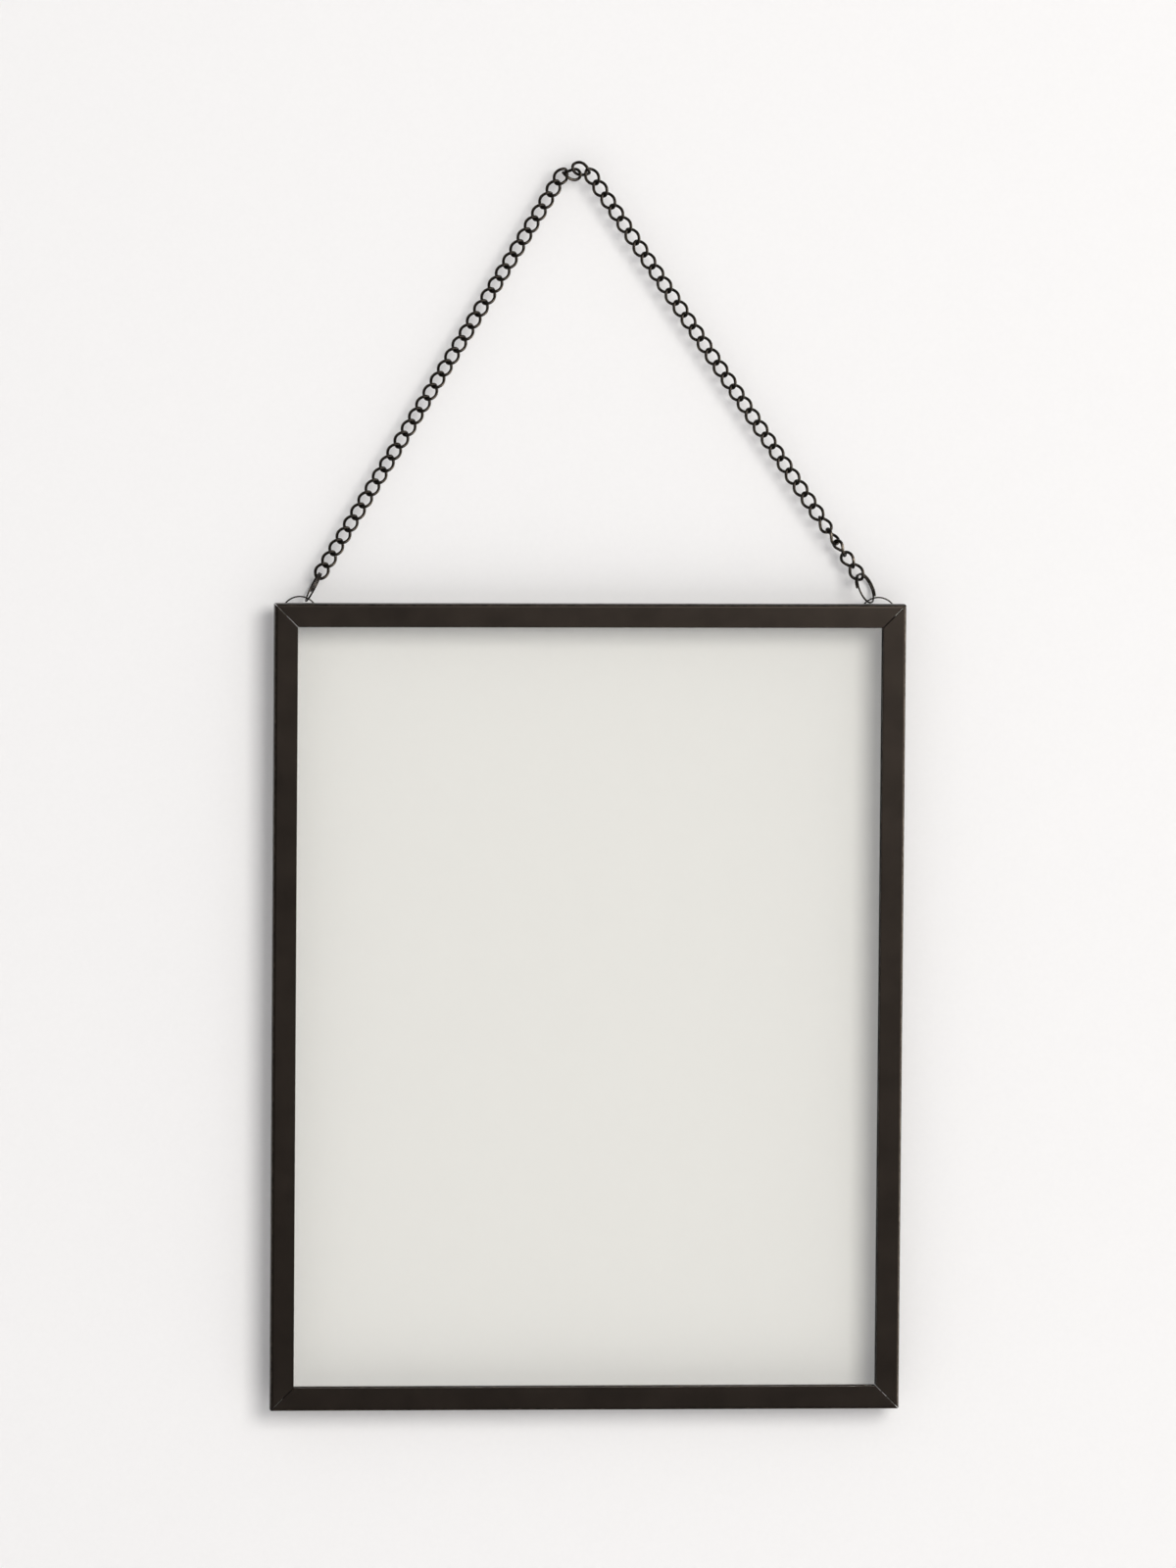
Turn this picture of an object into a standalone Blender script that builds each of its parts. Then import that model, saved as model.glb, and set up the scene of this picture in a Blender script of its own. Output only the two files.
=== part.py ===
"""A floating picture frame: two panes of glass in a mitred steel channel, hung from a curb chain.

Units are metres.  X runs to the right, Z is up and the front faces -Y.  The origin is where the
chain's top link rests on its nail, so the whole frame hangs below it.
"""
import math

import bmesh
import bpy
from mathutils import Matrix, Vector

MM = 0.001

# Driving dimensions of the frame.
FRAME_WIDTH = 250.0 * MM
FRAME_HEIGHT = 320.0 * MM
FRAME_DEPTH = 7.4 * MM
FACE_WIDTH = 9.2 * MM          # front web of the channel, from the outer edge to the sight edge
SHEET = 1.0 * MM               # thickness of the folded steel
BACK_FLANGE = 6.0 * MM         # return of the channel at the back
BEND_INSIDE = 0.2 * MM         # inside radius of each fold
GLASS_THICKNESS = 2.0 * MM
GLASS_SEAM = 0.3 * MM          # ground edge of the panes
GAP = 0.3 * MM                 # clearance between pieces that touch

# Corner keys, inside the channel.
KEY_WIDTH = 3.0 * MM
KEY_LEG = 26.0 * MM

# Turn buttons and their rivets, one in the middle of each bar.
BUTTON_INSET = 3.0 * MM        # rivet's distance from the frame's outer edge
BUTTON_WIDTH = 4.6 * MM
BUTTON_TAIL = 2.3 * MM
BUTTON_THICKNESS = 1.0 * MM
BUTTON_SHY = 0.4 * MM          # how far the closed button stops short of the sight edge
RIVET_SHANK = 0.7 * MM         # radius
RIVET_HEAD = 1.5 * MM          # radius
RIVET_HEAD_HEIGHT = 0.6 * MM

# Hangers: a tube brazed to the back of the top rail holds the straight side of each D-ring.
HANGER_INSET = 10.3 * MM       # D-ring's centre from the frame's side
HANGER_DROP = 5.0 * MM         # D-ring's straight side below the frame's top
HANGER_TUBE_LENGTH = 9.0 * MM
HANGER_TUBE_WALL = 0.3 * MM
D_RING_WIRE = 0.6 * MM         # diameter
D_RING_RADIUS = 7.2 * MM       # of the wire's centre line

# Split rings.
RING_WIRE = 0.7 * MM           # diameter
RING_RADIUS = 6.1 * MM         # of the wire's centre line
RING_TURNS = 1.6
RING_SLACK = 0.3 * MM          # extra room for a wire that crosses the ring's turns at a slant
RING_LAG_LEFT = math.radians(3.69)  # how much less a ring leans than the line up to its strand's top
RING_LAG_RIGHT = math.radians(6.91)
RING_HOOK = math.radians(25.0)      # where a ring sits on its D-ring, from the top
RING_TURN_LEFT = math.radians(0.0)  # turn about the ring's own long line
RING_TURN_RIGHT = math.radians(-28.0)

# Chain.
CHAIN_RISE = 170.6 * MM        # top of both straight strands above the frame's top
CHAIN_TOP_LEFT = -11.3 * MM    # top of the left strand from the frame's middle
CHAIN_TOP_RIGHT = -2.0 * MM
LINK_WIRE = 1.2 * MM           # diameter
LINK_HALF_WIDTH = 2.5 * MM     # of the wire's centre line
LINK_PITCH = 5.6 * MM          # nominal; the strands divide into whole links near this
LINK_TWIST = math.radians(45.0)     # each end of a link turns this far out of its plane
LINK_POINTS = 12
JOIN_OVERLAP = 0.25            # share of a wire by which links of one joined run sink together
RUNS_PER_HALF = 3              # joined runs between the single links of half a strand
KINK_LINKS = 5                 # links over which the right strand makes its half turn
APEX_TILT = math.radians(-65.5)     # long axis of the top link, from upright
APEX_ROLL = math.radians(-19.9)
APEX_LEAN = math.radians(-3.7)
APEX_FROM_STRAND = Vector((-2.74, -0.44, 0.54)) * MM    # top link's middle from the right strand's top
SIDE_LINK_TILT = math.radians(99.7)
SIDE_LINK_ROLL = math.radians(-40.1)
SIDE_LINK_LEAN = math.radians(20.1)
SIDE_LINK_FROM_STRAND = Vector((2.96, 0.18, -1.39)) * MM  # its middle from the left strand's top

# Depths from the frame's front, each piece one gap behind the last.
FRONT_PANE = SHEET + GAP
BACK_PANE = FRONT_PANE + GLASS_THICKNESS + GAP
RETAINER_FRONT = BACK_PANE + GLASS_THICKNESS + GAP
LINER_EDGE = BACK_FLANGE + GAP     # panes and retainer pass the back flange with one gap

# Places that follow from the sizes.  The D-rings and the chain hang in the plane Y = 0.
HANGER_TUBE_BORE = D_RING_WIRE / 2 + GAP
HANGER_TUBE_RADIUS = HANGER_TUBE_BORE + HANGER_TUBE_WALL
BACK_Y = -HANGER_TUBE_RADIUS - GAP
FRONT_Y = BACK_Y - FRAME_DEPTH
LINK_CONTACT = LINK_WIRE + GAP
APEX_HALF_LENGTH = (LINK_PITCH + LINK_CONTACT) / 2


def tilt(angle, roll=0.0, lean=0.0):
    """Rotation that leans the Z axis by angle towards +X, after a lean out of plane and a roll."""
    turn = Matrix.Rotation(angle, 4, "Y") @ Matrix.Rotation(lean, 4, "X")
    return turn @ Matrix.Rotation(roll, 4, "Z")


# The nail touches the inside of the top link's upper end, and that point is the origin.
NAIL_IN_LINK = tilt(APEX_TILT).to_3x3() @ Vector((0, 0, APEX_HALF_LENGTH - LINK_WIRE / 2))
FRAME_MIDDLE_X = -(CHAIN_TOP_RIGHT + APEX_FROM_STRAND.x + NAIL_IN_LINK.x)
FRAME_TOP_Z = -(CHAIN_RISE + APEX_FROM_STRAND.z + NAIL_IN_LINK.z)
FRAME_MIDDLE_Z = FRAME_TOP_Z - FRAME_HEIGHT / 2
STRAND_TOP_Z = FRAME_TOP_Z + CHAIN_RISE

for leftover in list(bpy.data.objects):
    bpy.data.objects.remove(leftover, do_unlink=True)

parts = bpy.data.collections.new("floating_frame")
cutters = bpy.data.collections.new("cutters")
bpy.context.scene.collection.children.link(parts)
bpy.context.scene.collection.children.link(cutters)


def material(name, colour, roughness, metallic, transmission=0.0):
    """One Principled material."""
    made = bpy.data.materials.new(name)
    made.use_nodes = True
    shader = made.node_tree.nodes["Principled BSDF"]
    shader.inputs["Base Color"].default_value = (*colour, 1.0)
    shader.inputs["Roughness"].default_value = roughness
    shader.inputs["Metallic"].default_value = metallic
    shader.inputs["Transmission Weight"].default_value = transmission
    return made


FRAME_FINISH = material("dark_bronze_lacquer", (0.022, 0.018, 0.014), 0.42, 0.35)
CHAIN_FINISH = material("blackened_chain_steel", (0.016, 0.014, 0.012), 0.38, 0.8)
RING_FINISH = material("blackened_ring_steel", (0.020, 0.018, 0.016), 0.32, 0.85)
KEY_FINISH = material("bare_zinc_steel", (0.42, 0.43, 0.44), 0.45, 1.0)
GLASS_FINISH = material("clear_glass", (0.93, 0.96, 0.92), 0.03, 0.0, 1.0)


def add(name, mesh, finish, placed=Matrix.Identity(4)):
    """A new object of the part, with its finish and its place."""
    made = bpy.data.objects.new(name, mesh)
    parts.objects.link(made)
    made.data.materials.clear()
    made.data.materials.append(finish)
    made.matrix_world = placed
    return made


def meshed(curve):
    """The welded mesh of a curve, with its loose caps joined on."""
    source = bpy.data.objects.new(curve.name, curve)
    parts.objects.link(source)
    bpy.context.view_layer.update()
    evaluated = source.evaluated_get(bpy.context.evaluated_depsgraph_get())
    mesh = bpy.data.meshes.new_from_object(evaluated)
    bpy.data.objects.remove(source, do_unlink=True)
    shape = bmesh.new()
    shape.from_mesh(mesh)
    bmesh.ops.remove_doubles(shape, verts=shape.verts, dist=0.00001)
    bmesh.ops.recalc_face_normals(shape, faces=shape.faces)
    shape.to_mesh(mesh)
    shape.free()
    return mesh


def outline_curve(name, outlines, thickness):
    """Flat closed outlines in local XY, filled and extruded by half the thickness each way."""
    curve = bpy.data.curves.new(name, "CURVE")
    curve.dimensions = "2D"
    curve.fill_mode = "BOTH"
    curve.extrude = thickness / 2
    for outline in outlines:
        spline = curve.splines.new("POLY")
        spline.points.add(len(outline) - 1)
        for point, (x, y) in zip(spline.points, outline):
            point.co = (x, y, 0, 1)
        spline.use_cyclic_u = True
    return curve


def wire_curve(name, points, diameter, closed):
    """A round wire along straight spans between points."""
    curve = bpy.data.curves.new(name, "CURVE")
    curve.dimensions = "3D"
    curve.bevel_depth = diameter / 2
    curve.bevel_resolution = 1
    curve.use_fill_caps = True
    spline = curve.splines.new("POLY")
    spline.points.add(len(points) - 1)
    for point, place in zip(spline.points, points):
        point.co = (*place, 1)
    spline.use_cyclic_u = closed
    return curve


def arc(centre, radius, start, end, steps):
    """Points on a circle in the plane, from one angle to another in degrees."""
    angles = [math.radians(start + (end - start) * i / steps) for i in range(steps + 1)]
    return [(centre[0] + radius * math.cos(a), centre[1] + radius * math.sin(a)) for a in angles]


def turned(name, profile, closed, steps, finish, placed):
    """A profile of (radius, height) points turned round local Z, running down its outer side."""
    mesh = bpy.data.meshes.new(name)
    edges = [(i, i + 1) for i in range(len(profile) - 1)]
    if closed:
        edges.append((len(profile) - 1, 0))
    mesh.from_pydata([(r, 0, h) for r, h in profile], edges, [])
    made = add(name, mesh, finish, placed)
    screw = made.modifiers.new("turn", "SCREW")
    screw.steps = steps
    screw.render_steps = steps
    screw.use_merge_vertices = True
    screw.merge_threshold = 0.00001


# ---------------------------------------------------------------- the four mitred channel bars

BARS = {
    "left_stile": (0, (-FRAME_WIDTH / 2, 0), FRAME_HEIGHT),
    "top_rail": (90, (0, FRAME_HEIGHT / 2), FRAME_WIDTH),
    "right_stile": (180, (FRAME_WIDTH / 2, 0), FRAME_HEIGHT),
    "bottom_rail": (270, (0, -FRAME_HEIGHT / 2), FRAME_WIDTH),
}


def bar_place(bar):
    """Local X runs inwards from a bar's outer edge, local Y backwards and local Z along it."""
    degrees, (across, up), length = BARS[bar]
    corner = Vector((FRAME_MIDDLE_X + across, FRONT_Y, FRAME_MIDDLE_Z + up))
    return Matrix.Translation(corner) @ Matrix.Rotation(math.radians(degrees), 4, "Y")


def mitred_bar(name, bar, outline, finish):
    """A section carried along one side, its ends slid back by their inset to make the mitres."""
    length = BARS[bar][2]
    mesh = meshed(outline_curve(name, [outline], length))
    for vertex in mesh.vertices:
        half = length / 2 - vertex.co.x - GAP / math.sqrt(2)
        vertex.co.z = math.copysign(half, vertex.co.z)
    return add(name, mesh, finish, bar_place(bar))


def channel_section():
    """Front web, side wall and back flange, with round folds."""
    outer, inner = BEND_INSIDE + SHEET, BEND_INSIDE
    back = FRAME_DEPTH
    front_bend, back_bend = (outer, outer), (outer, back - outer)
    section = [(FACE_WIDTH, 0)]
    section += arc(front_bend, outer, 270, 180, 3)
    section += arc(back_bend, outer, 180, 90, 3)
    section += [(BACK_FLANGE, back), (BACK_FLANGE, back - SHEET)]
    section += arc(back_bend, inner, 90, 180, 1)
    section += arc(front_bend, inner, 180, 270, 1)
    section += [(FACE_WIDTH, SHEET)]
    return section


for bar in BARS:
    made = mitred_bar(bar, bar, channel_section(), FRAME_FINISH)
    # A clearance hole for the turn button's rivet, through the back flange only.
    bpy.ops.mesh.primitive_cylinder_add(vertices=12, radius=RIVET_SHANK + GAP, depth=3 * SHEET)
    cutter = bpy.context.object
    cutter.name = "rivet_hole_" + bar
    for holder in list(cutter.users_collection):
        holder.objects.unlink(cutter)
    cutters.objects.link(cutter)
    hole = Matrix.Translation((BUTTON_INSET, FRAME_DEPTH, 0)) @ Matrix.Rotation(math.pi / 2, 4, "X")
    cutter.matrix_world = bar_place(bar) @ hole
    cutter.hide_render = True
    cutter.display_type = "WIRE"
    cut = made.modifiers.new("rivet_hole", "BOOLEAN")
    cut.operation = "DIFFERENCE"
    cut.object = cutter

# ---------------------------------------------------------------- corner keys, hidden in the channel

key_in = SHEET + GAP
KEY_OUTLINE = [
    (key_in, key_in), (key_in + KEY_LEG, key_in), (key_in + KEY_LEG, key_in + KEY_WIDTH),
    (key_in + KEY_WIDTH, key_in + KEY_WIDTH), (key_in + KEY_WIDTH, key_in + KEY_LEG),
    (key_in, key_in + KEY_LEG),
]
KEY_HEIGHT = FRAME_DEPTH - 2 * key_in
for name, (side, level) in {
    "corner_key_bottom_left": (-1, -1), "corner_key_bottom_right": (1, -1),
    "corner_key_top_left": (-1, 1), "corner_key_top_right": (1, 1),
}.items():
    mesh = meshed(outline_curve(name, [[(-side * x, -level * y) for x, y in KEY_OUTLINE]], KEY_HEIGHT))
    corner = Vector((FRAME_MIDDLE_X + side * FRAME_WIDTH / 2, FRONT_Y + FRAME_DEPTH / 2,
                     FRAME_MIDDLE_Z + level * FRAME_HEIGHT / 2))
    add(name, mesh, KEY_FINISH, Matrix.Translation(corner) @ Matrix.Rotation(math.pi / 2, 4, "X"))

# ---------------------------------------------------------------- two panes of glass

for name, depth in {"front_pane": FRONT_PANE, "back_pane": BACK_PANE}.items():
    bpy.ops.mesh.primitive_cube_add(size=1)
    pane = bpy.context.object
    size = (FRAME_WIDTH - 2 * LINER_EDGE, GLASS_THICKNESS, FRAME_HEIGHT - 2 * LINER_EDGE)
    pane.data.transform(Matrix.Diagonal((*size, 1)))
    middle = Vector((FRAME_MIDDLE_X, FRONT_Y + depth + GLASS_THICKNESS / 2, FRAME_MIDDLE_Z))
    made = add(name, pane.data, GLASS_FINISH, Matrix.Translation(middle))
    bpy.data.objects.remove(pane, do_unlink=True)
    seam = made.modifiers.new("ground_edge", "BEVEL")
    seam.width = GLASS_SEAM
    seam.segments = 1

# ---------------------------------------------------------------- retaining strips behind the glass

STRIP_SECTION = [
    (LINER_EDGE, RETAINER_FRONT), (FACE_WIDTH, RETAINER_FRONT),
    (FACE_WIDTH, FRAME_DEPTH), (LINER_EDGE, FRAME_DEPTH),
]
for bar in BARS:
    mitred_bar("retaining_strip_" + bar.split("_")[0], bar, STRIP_SECTION, FRAME_FINISH)

# ---------------------------------------------------------------- turn buttons and their rivets

BUTTON_REACH = FACE_WIDTH - BUTTON_SHY - BUTTON_INSET
BUTTON_BACK = FRAME_DEPTH + GAP + BUTTON_THICKNESS
button_round = BUTTON_WIDTH / 2
BUTTON_OUTLINE = (
    arc((BUTTON_REACH - button_round, 0), button_round, -90, 90, 6)
    + arc((-BUTTON_TAIL + button_round, 0), button_round, 90, 270, 6)
)
BUTTON_HOLE = arc((0, 0), RIVET_SHANK + GAP, 360, 30, 11)
# Domed head behind the button, shank through the flange, tail inside the channel.
RIVET_PROFILE = [
    (0, BUTTON_BACK + GAP + RIVET_HEAD_HEIGHT),
    (RIVET_HEAD * 0.6, BUTTON_BACK + GAP + RIVET_HEAD_HEIGHT * 0.8),
    (RIVET_HEAD, BUTTON_BACK + GAP),
    (RIVET_SHANK, BUTTON_BACK + GAP),
    (RIVET_SHANK, FRAME_DEPTH - SHEET - GAP),
    (RIVET_SHANK + 2 * GAP, FRAME_DEPTH - SHEET - GAP),
    (RIVET_SHANK + 2 * GAP, FRAME_DEPTH - SHEET - 2 * GAP),
    (0, FRAME_DEPTH - SHEET - 2 * GAP),
]


to_back = Matrix.Rotation(-math.pi / 2, 4, "X")   # local Z turns to the frame's +Y
for bar in BARS:
    side = bar.split("_")[0]
    pivot = bar_place(bar) @ Matrix.Translation((BUTTON_INSET, 0, 0)) @ to_back
    mesh = meshed(outline_curve("button_" + side, [BUTTON_OUTLINE, BUTTON_HOLE], BUTTON_THICKNESS))
    lift = Matrix.Translation((0, 0, FRAME_DEPTH + GAP + BUTTON_THICKNESS / 2))
    add("turn_button_" + side, mesh, FRAME_FINISH, pivot @ lift)
    turned("turn_button_rivet_" + side, RIVET_PROFILE, False, 10, KEY_FINISH, pivot)

# ---------------------------------------------------------------- D-rings in their tubes

D_BAR_Z = FRAME_TOP_Z - HANGER_DROP
SIDES = {"left": -1, "right": 1}


def d_ring_x(side):
    """Middle of one D-ring."""
    return FRAME_MIDDLE_X + SIDES[side] * (FRAME_WIDTH / 2 - HANGER_INSET)


for side in SIDES:
    half = HANGER_TUBE_LENGTH / 2
    profile = [(HANGER_TUBE_RADIUS, half), (HANGER_TUBE_RADIUS, -half),
               (HANGER_TUBE_BORE, -half), (HANGER_TUBE_BORE, half)]
    place = Matrix.Translation((d_ring_x(side), 0, D_BAR_Z)) @ Matrix.Rotation(math.pi / 2, 4, "Y")
    turned("hanger_tube_" + side, profile, True, 12, FRAME_FINISH, place)
    bow = arc((0, 0), D_RING_RADIUS, 0, 180, 10)
    wire = wire_curve("d_ring", [(x, 0, z) for x, z in bow], D_RING_WIRE, True)
    add("d_ring_" + side, meshed(wire), RING_FINISH, Matrix.Translation((d_ring_x(side), 0, D_BAR_Z)))

# ---------------------------------------------------------------- split rings

HOOK_DISTANCE = (D_RING_WIRE + RING_WIRE) / 2 + GAP + RING_SLACK   # between wire centre lines
EYE_DISTANCE = (LINK_WIRE + RING_WIRE) / 2 + GAP + RING_SLACK
HOOK_Z = D_BAR_Z + D_RING_RADIUS * math.cos(RING_HOOK)


def hook_point(side):
    """Where a split ring sits on its D-ring's wire."""
    towards_middle = -SIDES[side]
    return Vector((d_ring_x(side) + towards_middle * D_RING_RADIUS * math.sin(RING_HOOK), 0, HOOK_Z))


strand_top = {
    "left": Vector((FRAME_MIDDLE_X + CHAIN_TOP_LEFT, 0, STRAND_TOP_Z)),
    "right": Vector((FRAME_MIDDLE_X + CHAIN_TOP_RIGHT, 0, STRAND_TOP_Z)),
}
RING_LAG = {"left": RING_LAG_LEFT, "right": RING_LAG_RIGHT}


def ring_lean(side):
    """Angle of a split ring's long line from upright, towards the middle."""
    line = strand_top[side] - hook_point(side)
    return math.atan2(-SIDES[side] * line.x, line.z) - RING_LAG[side]


def ring_pull(side):
    """Unit direction in which the chain pulls a split ring."""
    lean = ring_lean(side)
    return Vector((-SIDES[side] * math.sin(lean), 0, math.cos(lean)))


def strand_foot(side):
    """Middle of the lowest link's bottom wire, inside the split ring's top."""
    reach = 2 * RING_RADIUS - HOOK_DISTANCE - EYE_DISTANCE
    return hook_point(side) + ring_pull(side) * reach


def coil(radius, turns, rise, start, steps):
    """Points of a flat coil round local X, centred on its plane, from a start angle off local Z."""
    points = []
    for i in range(steps + 1):
        share = i / steps - 0.5
        angle = start + 2 * math.pi * turns * share
        points.append((rise * turns * share, radius * math.sin(angle), radius * math.cos(angle)))
    return points


for side, turn, single in (("left", RING_TURN_LEFT, math.pi), ("right", RING_TURN_RIGHT, math.pi * 1.2)):
    rise = RING_WIRE * 1.12
    points = coil(RING_RADIUS, RING_TURNS, rise, single, 20)
    middle = hook_point(side) + ring_pull(side) * (RING_RADIUS - HOOK_DISTANCE)
    place = Matrix.Translation(middle) @ tilt(-SIDES[side] * ring_lean(side), roll=turn)
    wire = wire_curve("split_ring", points, RING_WIRE, False)
    add("split_ring_" + side, meshed(wire), RING_FINISH, place)

# ---------------------------------------------------------------- the curb chain


def link_mesh(half_length):
    """One curb link: an oval along local Z whose ends are twisted opposite ways out of its plane."""
    points = []
    for i in range(LINK_POINTS):
        angle = 2 * math.pi * i / LINK_POINTS
        turn = LINK_TWIST * math.cos(angle)
        out = LINK_HALF_WIDTH * math.sin(angle)
        points.append((out * math.cos(turn), out * math.sin(turn), half_length * math.cos(angle)))
    return meshed(wire_curve("link", points, LINK_WIRE, True))


def united(name, pieces):
    """The exact union of overlapping pieces, as one object at the first one's place."""
    first, rest = pieces[0], pieces[1:]
    for piece in rest:
        joined = first.modifiers.new("join", "BOOLEAN")
        joined.operation = "UNION"
        joined.object = piece
    bpy.context.view_layer.update()
    evaluated = first.evaluated_get(bpy.context.evaluated_depsgraph_get())
    mesh = bpy.data.meshes.new_from_object(evaluated)
    place = first.matrix_world.copy()
    for piece in pieces:
        bpy.data.objects.remove(piece, do_unlink=True)
    return add(name, mesh, CHAIN_FINISH, place)


def strand_split(count):
    """Links in each node of half a strand: one, the joined runs, one."""
    middle = count - 2
    runs = [middle // RUNS_PER_HALF + (i < middle % RUNS_PER_HALF) for i in range(RUNS_PER_HALF)]
    return [1, *runs, 1]


def add_strand(side, foot, top, links_per_half):
    """All links from the split ring up to the apex, the nodes numbered from the bottom."""
    up = (top - foot).normalized()
    lean = math.atan2(up.x, up.z)
    pitch = (top - foot).length / (2 * links_per_half)
    index = 0
    for number, size in enumerate(strand_split(links_per_half) * 2, start=1):
        pieces = []
        for place_in_run in range(size):
            below = LINK_CONTACT if place_in_run == 0 else LINK_WIRE * (1 - JOIN_OVERLAP)
            above = LINK_CONTACT if place_in_run == size - 1 else LINK_WIRE * (1 - JOIN_OVERLAP)
            low = max(0.0, index * pitch - below / 2)
            high = (index + 1) * pitch + above / 2
            kink = 0.0
            if side == "right":
                kink = math.pi * max(0, KINK_LINKS - index) / KINK_LINKS
            middle = foot + up * (low + high) / 2
            place = Matrix.Translation(middle) @ tilt(lean, roll=kink)
            name = "chain_%s_%02d" % (side, number)
            pieces.append(add(name, link_mesh((high - low) / 2), CHAIN_FINISH, place))
            index += 1
        if size > 1:
            united(name, pieces)


mean_length = sum((strand_top[side] - strand_foot(side)).length for side in SIDES) / 2
links_per_half = round(mean_length / LINK_PITCH / 2)
for side in SIDES:
    add_strand(side, strand_foot(side), strand_top[side], links_per_half)

apex_middle = strand_top["right"] + APEX_FROM_STRAND
add("chain_apex", link_mesh(APEX_HALF_LENGTH), CHAIN_FINISH,
    Matrix.Translation(apex_middle) @ tilt(APEX_TILT, APEX_ROLL, APEX_LEAN))
side_middle = strand_top["left"] + SIDE_LINK_FROM_STRAND
add("chain_apex_side", link_mesh(APEX_HALF_LENGTH), CHAIN_FINISH,
    Matrix.Translation(side_middle) @ tilt(SIDE_LINK_TILT, SIDE_LINK_ROLL, SIDE_LINK_LEAN))

# ---------------------------------------------------------------- bodies, each on its own pivot

link_rise = (STRAND_TOP_Z - strand_foot("left").z) / (2 * links_per_half)
PIVOT_HEIGHTS = {
    "apex_pivot": 0.0,
    "chain_swing_pivot": STRAND_TOP_Z - link_rise,
    "chain_fold_pivot": STRAND_TOP_Z - links_per_half * link_rise,
    "ring_swing_pivot": strand_foot("left").z + EYE_DISTANCE / 2,
    "d_ring_swing_pivot": HOOK_Z - HOOK_DISTANCE / 2,
    "frame_tilt_pivot": D_BAR_Z,
}
MEMBERS = {
    "chain_swing_pivot": [f"chain_{side}_{n:02d}" for side in SIDES for n in range(6, 10)],
    "chain_fold_pivot": [f"chain_{side}_{n:02d}" for side in SIDES for n in range(1, 6)],
    "ring_swing_pivot": [f"split_ring_{side}" for side in SIDES],
    "d_ring_swing_pivot": [f"d_ring_{side}" for side in SIDES],
    "apex_pivot": ["chain_apex", "chain_apex_side", "chain_left_10", "chain_right_10"],
}
in_chain = {name for names in MEMBERS.values() for name in names}
MEMBERS["frame_tilt_pivot"] = [made.name for made in parts.objects if made.name not in in_chain]

above = None
for pivot_name, height in PIVOT_HEIGHTS.items():
    pivot = bpy.data.objects.new(pivot_name, None)
    parts.objects.link(pivot)
    pivot.matrix_world = Matrix.Translation((0, 0, height))
    if above:
        pivot.parent = above
        pivot.matrix_parent_inverse = above.matrix_world.inverted()
    bpy.context.view_layer.update()
    for name in MEMBERS[pivot_name]:
        piece = bpy.data.objects[name]
        piece.parent = pivot
        piece.matrix_parent_inverse = pivot.matrix_world.inverted()
    above = pivot

for made in parts.objects:
    if made.type == "MESH" and made.data.materials[0] != GLASS_FINISH:
        made.data.shade_smooth()
        made.data.set_sharp_from_angle(angle=math.radians(35))
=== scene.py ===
import math

import bmesh
import bpy
import numpy as np
from mathutils import Matrix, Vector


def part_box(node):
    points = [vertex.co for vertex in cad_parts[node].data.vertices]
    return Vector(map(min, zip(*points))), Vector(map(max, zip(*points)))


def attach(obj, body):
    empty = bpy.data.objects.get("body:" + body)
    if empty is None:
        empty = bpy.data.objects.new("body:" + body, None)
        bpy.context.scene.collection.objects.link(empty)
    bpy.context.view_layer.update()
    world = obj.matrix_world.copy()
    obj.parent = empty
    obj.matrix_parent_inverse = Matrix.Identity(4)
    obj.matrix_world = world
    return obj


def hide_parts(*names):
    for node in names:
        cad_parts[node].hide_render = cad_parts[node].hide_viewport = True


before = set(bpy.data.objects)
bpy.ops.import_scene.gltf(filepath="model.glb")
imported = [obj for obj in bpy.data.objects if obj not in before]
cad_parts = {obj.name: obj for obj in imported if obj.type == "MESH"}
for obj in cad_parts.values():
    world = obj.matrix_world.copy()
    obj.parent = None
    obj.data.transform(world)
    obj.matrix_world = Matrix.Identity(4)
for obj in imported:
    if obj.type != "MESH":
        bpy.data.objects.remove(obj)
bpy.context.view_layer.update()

# A floating picture frame: two panes of glass held in a mitred frame of folded steel, which hangs
# from a nail by a curb chain.  Metres throughout; X to the right, Z up, the front faces -Y.
MM = 0.001

# ---------------------------------------------------------------- the four channel bars
# Each side is one strip of 1 mm steel folded to a C and mitred at its ends, then brazed to its
# neighbours and sprayed with a satin bronze-black lacquer.

STEEL = 1.0 * MM
BARS = {            # turn about Y of local X (inwards), and the CAD node
    "left": (0, "left_stile"), "top": (90, "top_rail"),
    "right": (180, "right_stile"), "bottom": (270, "bottom_rail"),
}
frame_low = np.minimum(*[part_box(node)[0] for node in ("left_stile", "bottom_rail")])
frame_high = np.maximum(*[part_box(node)[1] for node in ("right_stile", "top_rail")])
frame_size = frame_high - frame_low
frame_centre = (frame_low + frame_high) / 2
DEPTH = frame_size[1]
FACE = 9.2 * MM
BACK_FLANGE = 6.0 * MM
FOLD_RADIUS = 1.2 * MM
INNER_FOLD = 0.2 * MM
SHEARED_EDGE = 0.22 * MM      # rounding of the strip's two long edges
MITRE_GAP = 0.22 * MM
MITRE_EDGE = 0.16 * MM        # rounding of the sawn ends


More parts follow.
